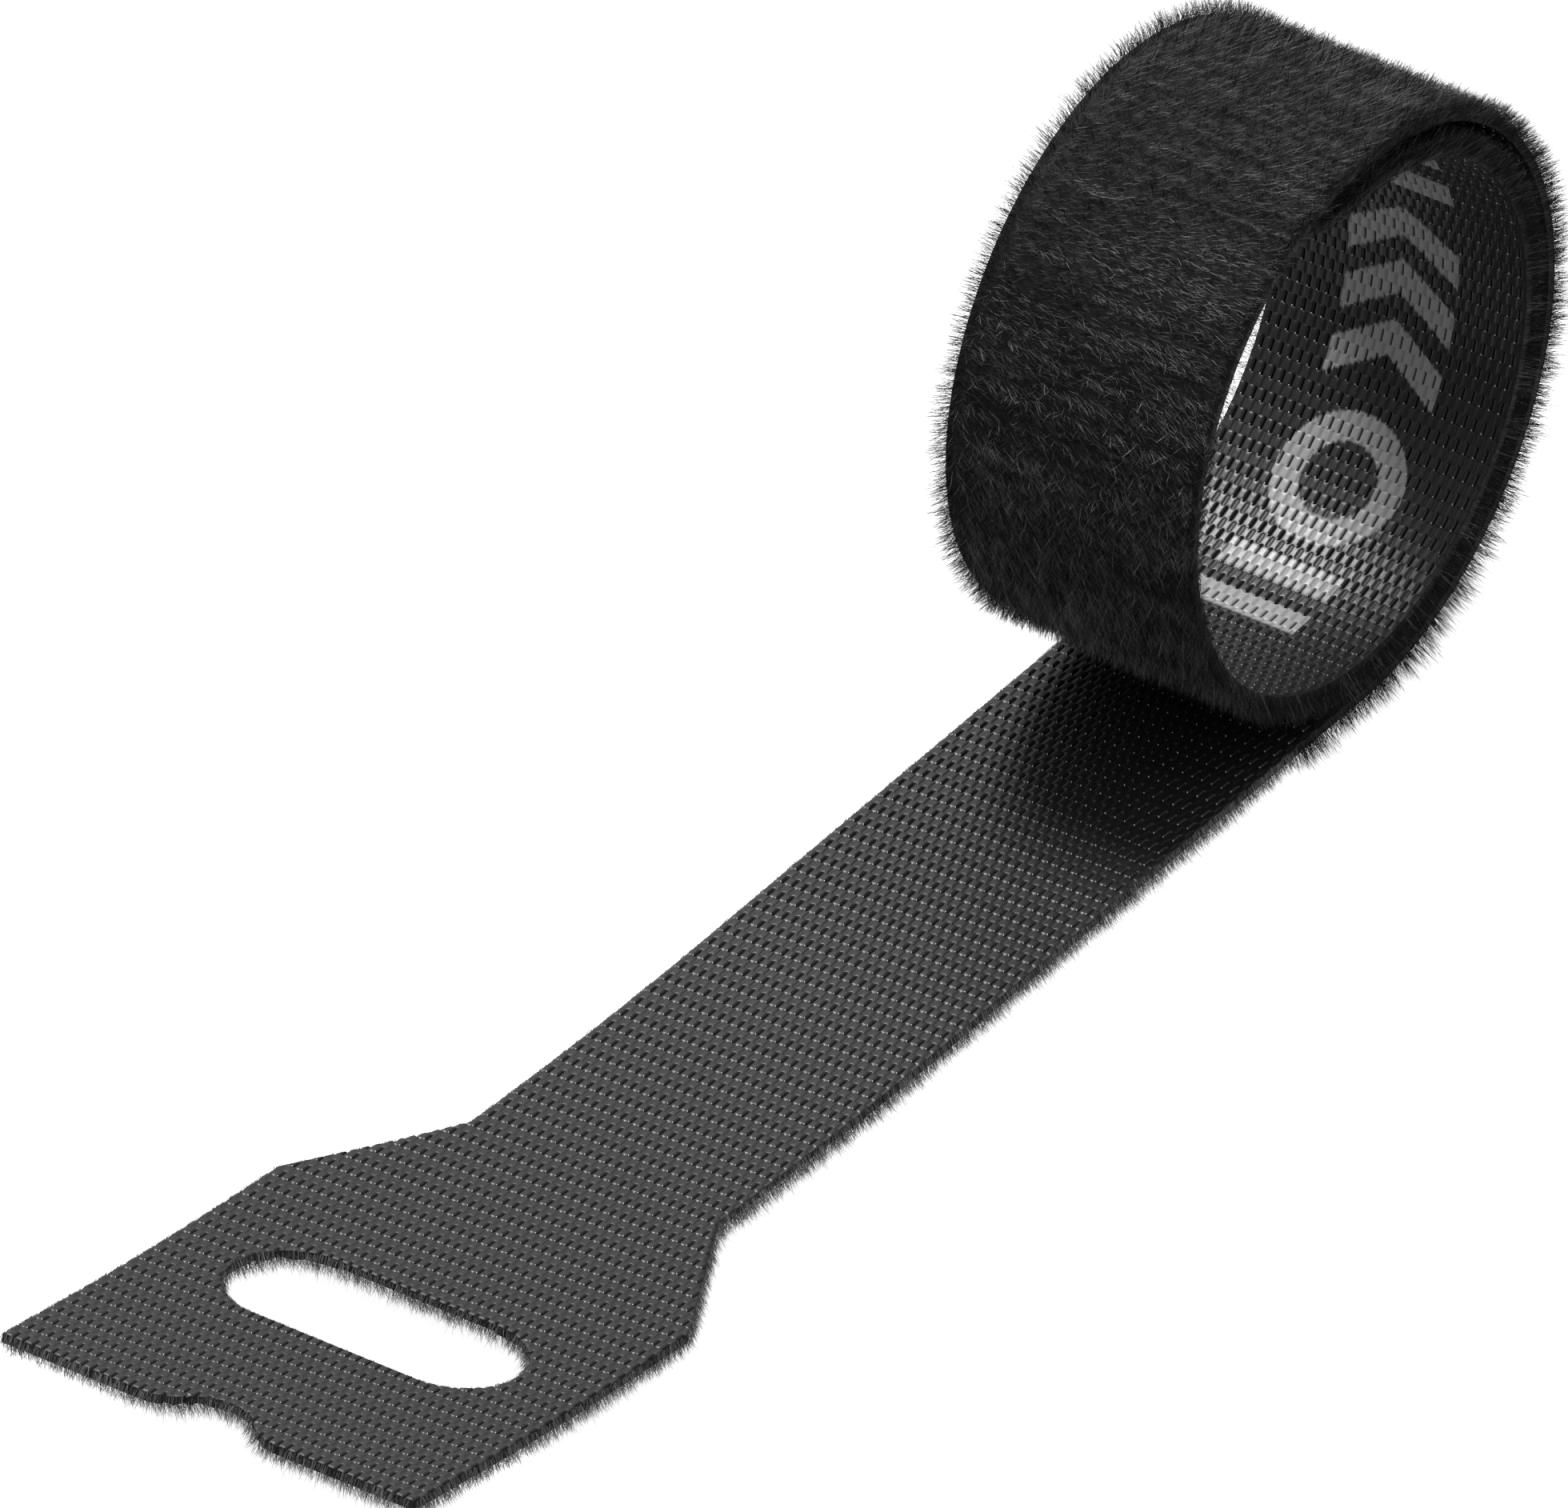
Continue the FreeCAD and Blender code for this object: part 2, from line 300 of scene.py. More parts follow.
class Strap:
    """The woven face's centre line, read off the hinges between the CAD bodies."""

    def __init__(self):
        coil = ["coil_%02d" % n for n in range(1, COIL_COUNT + 1)]
        self.names = ["head", "neck", "band_1", "band_2", "band_3"] + coil + ["tail"]
        hinges = {}
        for joint in frame["joints"]:
            key = frozenset((joint["parent"], joint["child"]))
            hinges[key] = (joint["pos_m"][0], joint["pos_m"][2])
        self.hinges = [hinges[frozenset(pair)] for pair in zip(self.names, self.names[1:])]
        self.build_runs()

    def build_runs(self):
        """The path as runs, each with its s, x, z, heading and curvature where it starts."""
        bond = np.array(self.hinges)
        chords = np.diff(bond, axis=0)
        lengths = np.hypot(chords[:, 0], chords[:, 1])
        slopes = np.arctan2(chords[:, 1], chords[:, 0])
        neck_turn = -2 * slopes[0]
        sweep_radius = lengths[0] / (2 * math.sin(neck_turn / 2)) - HOOK_THICKNESS
        head_arc = HEAD_LENGTH - FLAT_FRONT_LENGTH
        front_heading = -neck_turn - head_arc / sweep_radius
        runs = [(FLAT_FRONT_LENGTH, 0.0), (head_arc, 1 / sweep_radius),
                (neck_turn * sweep_radius, 1 / sweep_radius)]
        direction = 0.0
        for length, slope in zip(lengths[1:], slopes[1:]):
            slope = direction + (slope - direction + math.pi) % (2 * math.pi) - math.pi
            turn = 2 * (slope - direction)
            if abs(turn) < STRAIGHT_TURN:
                runs.append((length, 0.0))
            else:
                radius = length / (2 * math.sin(turn / 2)) - HOOK_THICKNESS
                runs.append((radius * turn, 1 / radius))
                direction += turn
        runs.append((TAIL_LENGTH, 0.0))
        self.lay_out(runs, front_heading)
        # the runs are placed so that the flat band lies where its own hinges are
        shift_x = self.hinges[1][0] - self.x[BAND_RUN]
        shift_z = self.hinges[1][1] + HOOK_THICKNESS - self.z[BAND_RUN]
        self.x += shift_x
        self.z += shift_z
        self.piece_start = np.concatenate([[0.0], self.s[HEAD_RUNS:]])
        self.length = self.s[-1] + TAIL_LENGTH

    def lay_out(self, runs, heading):
        """Fills the table of runs, end to end, from their lengths and curvatures."""
        s = x = z = 0.0
        table = []
        for length, curvature in runs:
            table.append((s, x, z, heading, curvature))
            if curvature:
                turned = heading + length * curvature
                x += (math.sin(turned) - math.sin(heading)) / curvature
                z -= (math.cos(turned) - math.cos(heading)) / curvature
                heading = turned
            else:
                x += length * math.cos(heading)
                z += length * math.sin(heading)
            s += length
        self.s, self.x, self.z, self.heading, self.curvature = np.array(table).T

    def place(self, s, y, depth):
        """Points in the frame for arrays of strap coordinates."""
        run = np.clip(np.searchsorted(self.s, s, side="right") - 1, 0, len(self.s) - 1)
        along, heading, curvature = s - self.s[run], self.heading[run], self.curvature[run]
        safe = np.where(curvature == 0, 1.0, curvature)
        turned = heading + along * curvature
        x = np.where(curvature == 0, along * np.cos(heading),
                     (np.sin(turned) - np.sin(heading)) / safe) + self.x[run]
        z = np.where(curvature == 0, along * np.sin(heading),
                     (np.cos(heading) - np.cos(turned)) / safe) + self.z[run]
        return np.stack([x + depth * np.sin(turned), y + 0 * x, z - depth * np.cos(turned)], -1)

    def sections(self):
        """Each section as (start, end, first body, second body); the ends ride on one body."""
        starts = self.piece_start
        ends = np.append(starts[1:], self.length)
        middles = (starts + ends) / 2
        middles[0] = HEAD_SIDE_LENGTH
        found = [(0.0, middles[0], "head", None)]
        for index in range(len(middles) - 1):
            found.append((middles[index], middles[index + 1],
                          self.names[index], self.names[index + 1]))
        found.append((middles[-1], self.length, "tail", None))
        return found


strap = Strap()


def smooth_step(value):
    value = np.clip(value, 0.0, 1.0)
    return value * value * (3 - 2 * value)


def value_noise(s, y, cell_s, cell_y, seed):
    """Smooth noise from 0 to 1 on a lattice of the given cell sizes."""
    u, v = s / cell_s, y / cell_y
    i, j = np.floor(u).astype(int), np.floor(v).astype(int)
    fu, fv = smooth_step(u - i), smooth_step(v - j)

    def corner(a, b):
        mixed = np.sin(a * HASH_A + b * HASH_B + seed * HASH_SEED) * HASH_SCALE
        return mixed - np.floor(mixed)

    low = corner(i, j) * (1 - fu) + corner(i + 1, j) * fu
    high = corner(i, j + 1) * (1 - fu) + corner(i + 1, j + 1) * fu
    return low * (1 - fv) + high * fv


def half_width(s):
    """Half the strap's width at s: the head's straight sides, its taper, then the band."""
    share = np.clip((s - HEAD_SIDE_LENGTH) / HEAD_TAPER_LENGTH, 0, 1)
    return HEAD_WIDTH / 2 + (STRAP_WIDTH - HEAD_WIDTH) / 2 * share


def notch_edge(y):
    """Where the front edge lies: a shallow notch with rounded shoulders in its middle."""
    bend = 2 * math.atan(NOTCH_DEPTH / NOTCH_HALF_WIDTH)
    radius = NOTCH_HALF_WIDTH / (2 * math.sin(bend))
    across = np.minimum(np.abs(y), NOTCH_HALF_WIDTH)
    inner = NOTCH_DEPTH - radius + np.sqrt(np.maximum(radius ** 2 - across ** 2, 0))
    outer = radius - np.sqrt(np.maximum(radius ** 2 - (NOTCH_HALF_WIDTH - across) ** 2, 0))
    return np.where(across < NOTCH_HALF_WIDTH / 2, inner, outer)


def inside_distance(s, y):
    """How far a point is inside the strap's outline; negative outside it or in the slot."""
    taper = math.atan((HEAD_WIDTH - STRAP_WIDTH) / 2 / HEAD_TAPER_LENGTH)
    on_taper = (s > HEAD_SIDE_LENGTH) & (s < HEAD_SIDE_LENGTH + HEAD_TAPER_LENGTH)
    side = (half_width(s) - np.abs(y)) * np.where(on_taper, math.cos(taper), 1.0)
    front = s - notch_edge(y)
    reach = SLOT_LENGTH / 2 - SLOT_WIDTH / 2
    past = np.maximum(np.abs(y) - reach, 0.0)
    slot = np.hypot(s - SLOT_DISTANCE, past) - SLOT_WIDTH / 2
    corner_s = np.maximum(s - (strap.length - TAIL_CORNER_RADIUS), 0)
    corner_y = np.maximum(np.abs(y) - (STRAP_WIDTH / 2 - TAIL_CORNER_RADIUS), 0)
    tip = TAIL_CORNER_RADIUS - np.hypot(corner_s, corner_y)
    tip = np.where(s > strap.length - 2 * TAIL_CORNER_RADIUS, tip, 1.0)
    return np.minimum(np.minimum(side, front), np.minimum(slot, tip))


def outward(s, y):
    """The unit direction towards the nearest edge, as (along, across)."""
    step = EDGE_PROBE
    along = inside_distance(s - step, y) - inside_distance(s + step, y)
    across = inside_distance(s, y - step) - inside_distance(s, y + step)
    size = np.maximum(np.hypot(along, across), 1e-12)
    return along / size, across / size


def weave_relief(s, y):
    """Height of the woven face, 0 on the tiles and negative in the grooves, in metres."""
    along = np.mod(s, REPEAT)
    half = REPEAT / 2
    blur = COLUMN_BLUR
    in_second = smooth_step((along - half + blur) / (2 * blur))
    in_second = in_second * (1 - smooth_step((along - REPEAT + blur) / (2 * blur)))
    in_second = in_second + smooth_step((blur - along) / (2 * blur))
    to_first = np.abs(np.mod(y + ROW / 2, ROW) - ROW / 2)
    to_second = np.abs(np.mod(y, ROW) - ROW / 2)
    narrow = NARROW_GROOVE_DEPTH * np.exp(-(to_first / NARROW_GROOVE) ** 2)
    wide = WIDE_GROOVE_DEPTH * np.exp(-(to_second / WIDE_GROOVE) ** 4)
    crown_first = TILE_CROWN * (1 - to_first / (ROW / 2)) ** 2
    crown_second = TILE_CROWN * (1 - to_second / (ROW / 2)) ** 2
    to_cross = np.minimum(np.minimum(along, REPEAT - along), np.abs(along - half))
    cross = CROSS_GROOVE_DEPTH * np.exp(-(to_cross / CROSS_GROOVE) ** 2)
    first = narrow + crown_first
    second = wide + crown_second
    return -(first * (1 - in_second) + second * in_second) - cross


def lattice_lines(low, high, pitch, offsets, spare):
    """The multiples of a pitch, plus offsets, between two ends, with the ends themselves."""
    first, last = int(low // pitch) - 1, int(high // pitch) + 1
    lines = [k * pitch + o for k in range(first, last + 1) for o in offsets]
    lines = [v for v in lines if low + spare < v < high - spare]
    return np.array([low] + sorted(lines) + [high])


def mesh_object(name, points, polygons, attributes=None):
    """An object from points and polygons, given as a list of (n, corners) index arrays."""
    mesh = bpy.data.meshes.new(name)
    sizes = np.concatenate([np.full(len(p), p.shape[1], int) for p in polygons])
    corners = np.concatenate([p.ravel() for p in polygons])
    starts = np.concatenate([[0], np.cumsum(sizes)[:-1]])
    mesh.vertices.add(len(points))
    mesh.vertices.foreach_set("co", np.asarray(points, np.float32).ravel())
    mesh.loops.add(len(corners))
    mesh.loops.foreach_set("vertex_index", corners.astype(np.int32))
    mesh.polygons.add(len(sizes))
    mesh.polygons.foreach_set("loop_start", starts.astype(np.int32))
    mesh.polygons.foreach_set("loop_total", sizes.astype(np.int32))
    for key, values in (attributes or {}).items():
        layer = mesh.attributes.new(key, "FLOAT", "POINT")
        layer.data.foreach_set("value", np.asarray(values, np.float32))
    mesh.update(calc_edges=True)
    mesh.validate()
    made = bpy.data.objects.new(name, mesh)
    bpy.context.scene.collection.objects.link(made)
    return made


def outline_grid(s_lines, y_lines):
    """A grid cut to the strap's outline: (s, y, quads), its rim moved onto the edges."""
    s, y = np.meshgrid(s_lines, y_lines, indexing="ij")
    s, y = s.ravel(), y.ravel()
    index = np.arange(len(s)).reshape(len(s_lines), len(y_lines))
    quads = np.stack([index[:-1, :-1], index[1:, :-1], index[1:, 1:], index[:-1, 1:]], -1)
    quads = quads.reshape(-1, 4)
    middle = inside_distance(s[quads].mean(1), y[quads].mean(1))
    quads = quads[middle > 0]
    used = np.unique(quads)
    for _ in range(PULL_PASSES):
        distance = inside_distance(s[used], y[used])
        along, across = outward(s[used], y[used])
        off = np.where(distance < 0, distance, 0.0)
        s[used] += along * off
        y[used] += across * off
    edges = np.concatenate([quads[:, [k, (k + 1) % 4]] for k in range(4)])
    key = np.sort(edges, 1)
    _, first, count = np.unique(key[:, 0] * len(s) + key[:, 1], return_index=True,
                                return_counts=True)
    rim = np.unique(edges[first[count == 1]])
    distance = inside_distance(s[rim], y[rim])
    near = (distance > 0) & (distance < RIM_PULL)
    along, across = outward(s[rim], y[rim])
    s[rim] += np.where(near, along * distance, 0)
    y[rim] += np.where(near, across * distance, 0)
    renumber = np.full(len(s), -1)
    renumber[used] = np.arange(len(used))
    return s[used], y[used], renumber[quads], renumber[edges[first[count == 1]]]


def slab(name, s_lines, y_lines, top, bottom, attributes=None):
    """A closed solid between two depths, over the strap's outline between two cuts."""
    if s_lines[0] > HEAD_LENGTH and s_lines[-1] < strap.length - 2 * TAIL_CORNER_RADIUS:
        return plain_slab(name, s_lines, y_lines, top, bottom, attributes)
    s, y, quads, rim = outline_grid(s_lines, y_lines)
    count = len(s)
    upper = strap.place(s, y, top(s, y))
    lower = strap.place(s, y, bottom + 0 * s)
    walls = np.stack([rim[:, 1], rim[:, 0], rim[:, 0] + count, rim[:, 1] + count], -1)
    values = {key: np.tile(rule(s, y), 2) for key, rule in (attributes or {}).items()}
    faces = [quads, quads[:, ::-1] + count, walls]
    made = mesh_object(name, np.concatenate([upper, lower]), faces, values)
    smooth(made, len(quads))
    return made


def plain_slab(name, s_lines, y_lines, top, bottom, attributes):
    """The same for a stretch with straight sides, with one quad across its underside."""
    rows, columns = len(s_lines), len(y_lines)
    s, y = [v.ravel() for v in np.meshgrid(s_lines, y_lines, indexing="ij")]
    edge_s, edge_y = [v.ravel() for v in np.meshgrid(s_lines, y_lines[[0, -1]], indexing="ij")]
    index = np.arange(rows * columns).reshape(rows, columns)
    under = rows * columns + np.arange(2 * rows).reshape(rows, 2)
    quads = np.stack([index[:-1, :-1], index[1:, :-1], index[1:, 1:], index[:-1, 1:]], -1)
    near = np.stack([index[1:, 0], index[:-1, 0], under[:-1, 0], under[1:, 0]], -1)
    far = np.stack([index[:-1, -1], index[1:, -1], under[1:, 1], under[:-1, 1]], -1)
    base = np.stack([under[:-1, 1], under[1:, 1], under[1:, 0], under[:-1, 0]], -1)
    start_cap = np.concatenate([index[0, :], under[0, ::-1]])[None, :]
    end_cap = np.concatenate([index[-1, ::-1], under[-1, :]])[None, :]
    all_s, all_y = np.concatenate([s, edge_s]), np.concatenate([y, edge_y])
    depth = np.concatenate([top(s, y), np.full(len(edge_s), bottom)])
    values = {key: rule(all_s, all_y) for key, rule in (attributes or {}).items()}
    faces = [quads.reshape(-1, 4), near, far, base, start_cap, end_cap]
    made = mesh_object(name, strap.place(all_s, all_y, depth), faces, values)
    smooth(made, (rows - 1) * (columns - 1))
    return made


def weave_depth(s, y):
    """Depth of the woven face, rounded over at the cut edges."""
    edge = np.clip(1 - inside_distance(s, y) / EDGE_ROUND, 0, 1)
    return -weave_relief(s, y) + EDGE_DROP * edge ** 2


def relief_with_painted_edge_shade(s, y):
    """The relief that the colour follows, lowered at the cut edges for painted shade there and
    on the walls.
    """
    edge = np.clip(1 - inside_distance(s, y) / EDGE_ROUND, 0, 1)
    return weave_relief(s, y) - PAINTED_EDGE_SHADE * edge


def ink(s, y):
    """The generic printed mark: 1 where the woven face inside the coil is printed."""
    along = s - (strap.length - PRINT_FROM_TIP)
    shown = np.zeros_like(s)
    for start in PRINT_BARS:
        bar = (np.abs(along - start) < BAR_WIDTH / 2) & (np.abs(y) < PRINT_HEIGHT / 2)
        shown = np.maximum(shown, bar)
    for start in PRINT_CHEVRONS:
        slanted = along - start - (PRINT_HEIGHT / 2 - np.abs(y)) * CHEVRON_SLOPE
        chevron = (np.abs(slanted) < CHEVRON_WIDTH / 2) & (np.abs(y) < PRINT_HEIGHT / 2)
        shown = np.maximum(shown, chevron)
    for start in PRINT_RINGS:
        ring = np.abs(np.hypot(along - start, y) - RING_RADIUS) < BAR_WIDTH / 2
        shown = np.maximum(shown, ring)
    return shown.astype(float)


def along_strap(s, y):
    return s


def across_strap(s, y):
    return y


def weave_section(number, start, end):
    """The woven tape of one section: relief on top, flat underneath, closed at its cuts."""
    along_lines = lattice_lines(start, end, REPEAT, REPEAT_LINES, LINE_SPACING)
    width = HEAD_WIDTH / 2 if start < HEAD_LENGTH else STRAP_WIDTH / 2
    across_lines = lattice_lines(-width, width, ROW, ROW_LINES, LINE_SPACING)
    rules = {"along": along_strap, "across": across_strap, "relief": relief_with_painted_edge_shade, "ink": ink}
    return slab("weave_%02d" % number, along_lines, across_lines, weave_depth,
                HOOK_THICKNESS, rules)


def ground_section(number, start, end):
    """The pile's knitted ground, a thin skin under the woven tape."""
    along_lines = lattice_lines(start, end, GROUND_CELL, [0.0], GROUND_SPACING)
    width = HEAD_WIDTH / 2 if start < HEAD_LENGTH else STRAP_WIDTH / 2
    across_lines = lattice_lines(-width, width, GROUND_CELL, [0.0], GROUND_SPACING)

    def top(s, y):
        return HOOK_THICKNESS + 0 * s

    rules = {"along": along_strap, "across": across_strap}
    return slab("ground_%02d" % number, along_lines, across_lines, top, GROUND_BOTTOM, rules)


def hook_tubes(name, s, y, size, rng):
    """Small arched hooks that stand on the woven face, one at each (s, y)."""
    # the arrays are indexed by hook, by step along its arch and by side of its round section
    heading = (HOOK_HEADING + rng.normal(0, HOOK_SCATTER, len(s)))[:, None, None]
    reach = (HOOK_REACH * size)[:, None, None]
    swing = np.linspace(HOOK_ARC[0], HOOK_ARC[1], HOOK_STEPS)[None, :, None]
    taper = np.linspace(1.0, HOOK_TIP_SHARE, HOOK_STEPS)[None, :, None]
    turn = (np.arange(HOOK_SIDES) / HOOK_SIDES * 2 * math.pi)[None, None, :]
    radius = (HOOK_RADIUS * size)[:, None, None] * taper
    out = -np.cos(swing) * (reach + np.cos(turn) * radius)
    up = np.sin(swing) * (reach * HOOK_HEIGHT_SHARE + np.cos(turn) * radius)
    side = np.sin(turn) * radius
    along = s[:, None, None] + out * np.cos(heading) - side * np.sin(heading)
    across = y[:, None, None] + out * np.sin(heading) + side * np.cos(heading)
    points = strap.place(along.ravel(), across.ravel(), (HOOK_SINK - up).ravel())
    index = np.arange(up.size).reshape(up.shape)
    following = np.roll(index, -1, axis=2)
    tube = np.stack([index[:, :-1], following[:, :-1], following[:, 1:], index[:, 1:]], -1)
    caps = [index[:, 0, ::-1], index[:, -1, :]]
    return mesh_object(name, points, [tube.reshape(-1, 4)] + caps)


def hook_section(number, start, end):
    """The hooks of one section: a large and a small one to each row and repeat of the weave."""
    rng = np.random.default_rng(HOOK_SEED + number)
    repeats = np.arange(start // REPEAT - 1, end // REPEAT + 2) * REPEAT
    rows = np.arange(-HOOK_ROWS, HOOK_ROWS + 1) * ROW
    found = []
    for offset_s, offset_y, size in HOOK_PLACES:
        s, y = np.meshgrid(repeats + offset_s, rows + offset_y)
        found.append(np.stack([s.ravel(), y.ravel(), np.full(s.size, size)], -1))
    s, y, size = np.concatenate(found).T
    keep = (s >= start) & (s < end) & (inside_distance(s, y) > HOOK_MARGIN)
    s, y, size = s[keep], y[keep], size[keep]
    size = size * rng.uniform(HOOK_SIZES[0], HOOK_SIZES[1], len(s))
    return hook_tubes("hooks_%02d" % number, s, y, size, rng)


def fur_roots(rng, number, start, end):
    """Where the fibres grow, crowded towards the cut edges: (s, y, depth, rim, outward)."""
    width = HEAD_WIDTH if start < HEAD_LENGTH else STRAP_WIDTH
    count = int((end - start) * width * FUR_PER_MM2 * RIM_CROWDING / MM ** 2)
    s = rng.uniform(start, end, count)
    y = rng.uniform(-width / 2, width / 2, count)
    inside = inside_distance(s, y)
    rim = np.clip(1 - inside / RIM_BAND, 0, 1)
    body = HEAD_SHARE if number == 0 else 1.0
    wanted = (body + (RIM_CROWDING - body) * rim) / RIM_CROWDING
    keep = (inside > FUR_MARGIN) & (rng.uniform(0, 1, count) < wanted)
    s, y, inside, rim = s[keep], y[keep], inside[keep], rim[keep]
    count = len(s)
    out_s, out_y = outward(s, y)
    # fibres at the very edge start higher up, on the cut side of the tape
    on_side = (inside < SIDE_BAND) & (rng.uniform(0, 1, count) < SIDE_SHARE)
    side_root = GROUND_BOTTOM * rng.uniform(0, 1, count) ** SIDE_CROWDING
    root = np.where(on_side, side_root, GROUND_BOTTOM - ROOT_SINK)
    clear = inside + rng.uniform(0, 1, count) * SIDE_CLEARANCE
    s = s + np.where(on_side, out_s * clear, 0.0)
    y = y + np.where(on_side, out_y * clear, 0.0)
    return s, y, root, rim, (out_s, out_y)


def fur_lean(rng, s, y, rim, out, upright, brushed, flat):
    """How far each fibre reaches along and across the strap for each unit of depth."""
    count = len(s)
    swirl = 2 * math.pi * value_noise(s, y, *SWIRL_CELL, SWIRL_NOISE)
    swirl = swirl + rng.normal(0, SWIRL_SCATTER, count)
    lean = rng.uniform(LEANS[0], LEANS[1], count) * np.where(upright, UPRIGHT_LEAN, 1.0)
    lean = lean * (1 - RIM_STIFFNESS * rim)
    lay = np.where(upright, UPRIGHT_LAY, 1.0) * (1 - rim) ** 3
    along = lean * np.cos(swirl) * SWIRL_LEAN + BRUSHED * brushed * lay
    along = along + rng.normal(0, SCATTER_ALONG, count)
    across = lean * np.sin(swirl) * SWIRL_LEAN - COMBED * lay
    across = across + rng.normal(0, SCATTER_ACROSS, count)
    splay = FLAT_SPLAY if flat else COIL_SPLAY
    spread = rim * (LEAST_SPLAY + splay * rng.uniform(0.0, 1.0, count) ** SPLAY_POWER)
    return along + out[0] * spread, across + out[1] * spread


def fur_reach(rng, s, y, rim, upright, flat):
    """Each fibre's length, and the depth that it may not pass."""
    count = len(s)
    length = FUR_LENGTH * rng.uniform(FUR_LENGTHS[0], FUR_LENGTHS[1], count)
    length = length * np.where(upright, UPRIGHT_GAIN, 1.0)
    length = length * (TUFT_LEAST + TUFT_GAIN * value_noise(s, y, *TUFT_CELL, TUFT_NOISE))
    limit = np.where(upright, UPRIGHT_DEPTH, PILE_DEPTH)
    if flat:
        length = length * (1 - RIM_TRIM * rim)
        limit = limit - RIM_THINNING * rim
    else:
        length = length * (1 + RIM_GAIN * rim)
        limit = limit + RIM_REACH * rim
    limit = limit + rng.uniform(REACH_SCATTER[0], REACH_SCATTER[1], count)
    # the pile is pressed thin towards the tail's tip, to make room for the turn outside it
    pressed = np.clip(1 - (strap.length - s) / TAIL_LENGTH, 0, 1)
    return length, np.maximum(limit - TAIL_PRESS * pressed, GROUND_BOTTOM)


def fur_section(number, start, end):
    """The pile: tapered blades that hang from the ground and lean over each other."""
    rng = np.random.default_rng(FUR_SEED + number)
    flat = number < FLAT_SECTIONS
    s, y, root, rim, out = fur_roots(rng, number, start, end)
    count = len(s)
    upright = rng.uniform(0, 1, count) < UPRIGHT_SHARE
    brushed = value_noise(s, y, *STREAK_CELL, STREAK_NOISE) - 0.5
    lean_s, lean_y = fur_lean(rng, s, y, rim, out, upright, brushed, flat)
    length, limit = fur_reach(rng, s, y, rim, upright, flat)
    hang = length / np.sqrt(1 + lean_s ** 2 + lean_y ** 2)
    bend_s, bend_y = rng.normal(0, FIBRE_BEND, (count, 2)).T
    roll = rng.uniform(0, 2 * math.pi, count)
    rows = []
    for t, share in FUR_OUTLINE:
        middle_s = s + hang * (lean_s * t + bend_s * t * t)
        middle_y = y + hang * (lean_y * t + bend_y * t * t)
        depth = root + np.minimum(hang, limit - root) * t
        half = FUR_WIDTH / 2 * share * (1 - RIM_FINENESS * rim)
        for side in ((-1, 1) if share else (0,)):
            rows.append((middle_s + side * np.cos(roll) * half,
                         middle_y + side * np.sin(roll) * half, depth))
    s_all, y_all, depth_all = [np.stack(values, -1).ravel() for values in zip(*rows)]
    points = strap.place(s_all, y_all, depth_all)
    points[:, 2] = np.maximum(points[:, 2], FLOOR_CLEARANCE)
    base = np.arange(count)[:, None] * len(rows)
    quads = np.concatenate([base + np.array([0, 1, 3, 2]), base + np.array([2, 3, 5, 4])])
    tips = base + np.array([4, 5, 6])
    made = mesh_object("fur_%02d" % number, points, [quads, tips])
    pick = rng.uniform(0, 1, count) + STREAK * brushed
    # painted light and shade: rim fibres lighter on the flat sections, darker on the coil
    pick = pick + rim * (RIM_PAINTED_LIGHT if flat else -RIM_PAINTED_SHADE)
    shade = np.digitize(pick, np.cumsum(FUR_SHADES)[:-1])
    made.data.polygons.foreach_set("material_index", np.tile(shade, 3).astype(np.int32))
    return made


def nodes_of(material):
    material.use_nodes = True
    tree = material.node_tree
    return tree, tree.nodes["Principled BSDF"]


def link_all(tree, *pairs):
    for source, target in pairs:
        tree.links.new(source, target)


def strap_vector(tree, along_scale, across_scale):
    """A texture vector in strap coordinates, so that the grain follows the tape as it bends."""
    combine = tree.nodes.new("ShaderNodeCombineXYZ")
    for axis, key, scale in (("X", "along", along_scale), ("Y", "across", across_scale)):
        attribute = tree.nodes.new("ShaderNodeAttribute")
        attribute.attribute_name = key
        multiply = tree.nodes.new("ShaderNodeMath")
        multiply.operation = "MULTIPLY"
        multiply.inputs[1].default_value = scale
        link_all(tree, (attribute.outputs["Fac"], multiply.inputs[0]),
                 (multiply.outputs[0], combine.inputs[axis]))
    return combine.outputs[0]


def noise(tree, vector, detail):
    texture = tree.nodes.new("ShaderNodeTexNoise")
    texture.inputs["Scale"].default_value = 1.0
    texture.inputs["Detail"].default_value = detail
    tree.links.new(vector, texture.inputs["Vector"])
    return texture.outputs["Fac"]


def grey_colour(grey, tint=1.0):
    """An opaque grey, slightly blue where the tint is above 1."""
    return (grey, grey, grey * tint, 1)


def ramp(tree, factor, stops):
    """A colour ramp from (position, grey) stops."""
    node = tree.nodes.new("ShaderNodeValToRGB")
    elements = node.color_ramp.elements
    while len(elements) < len(stops):
        elements.new(0.5)
    for element, (position, grey) in zip(elements, stops):
        element.position = position
        element.color = grey_colour(grey, TINT)
    tree.links.new(factor, node.inputs["Fac"])
    return node.outputs["Color"]


def mix_colour(tree, factor, first, second, blend="MIX"):
    node = tree.nodes.new("ShaderNodeMix")
    node.data_type = "RGBA"
    node.blend_type = blend
    # a mix node's sockets 0, 6 and 7 are its factor and its two colours
    for socket, value in zip((node.inputs[0], node.inputs[6], node.inputs[7]),
                             (factor, first, second)):
        if isinstance(value, bpy.types.NodeSocket):
            tree.links.new(value, socket)
        else:
            socket.default_value = value
    return node.outputs[2]


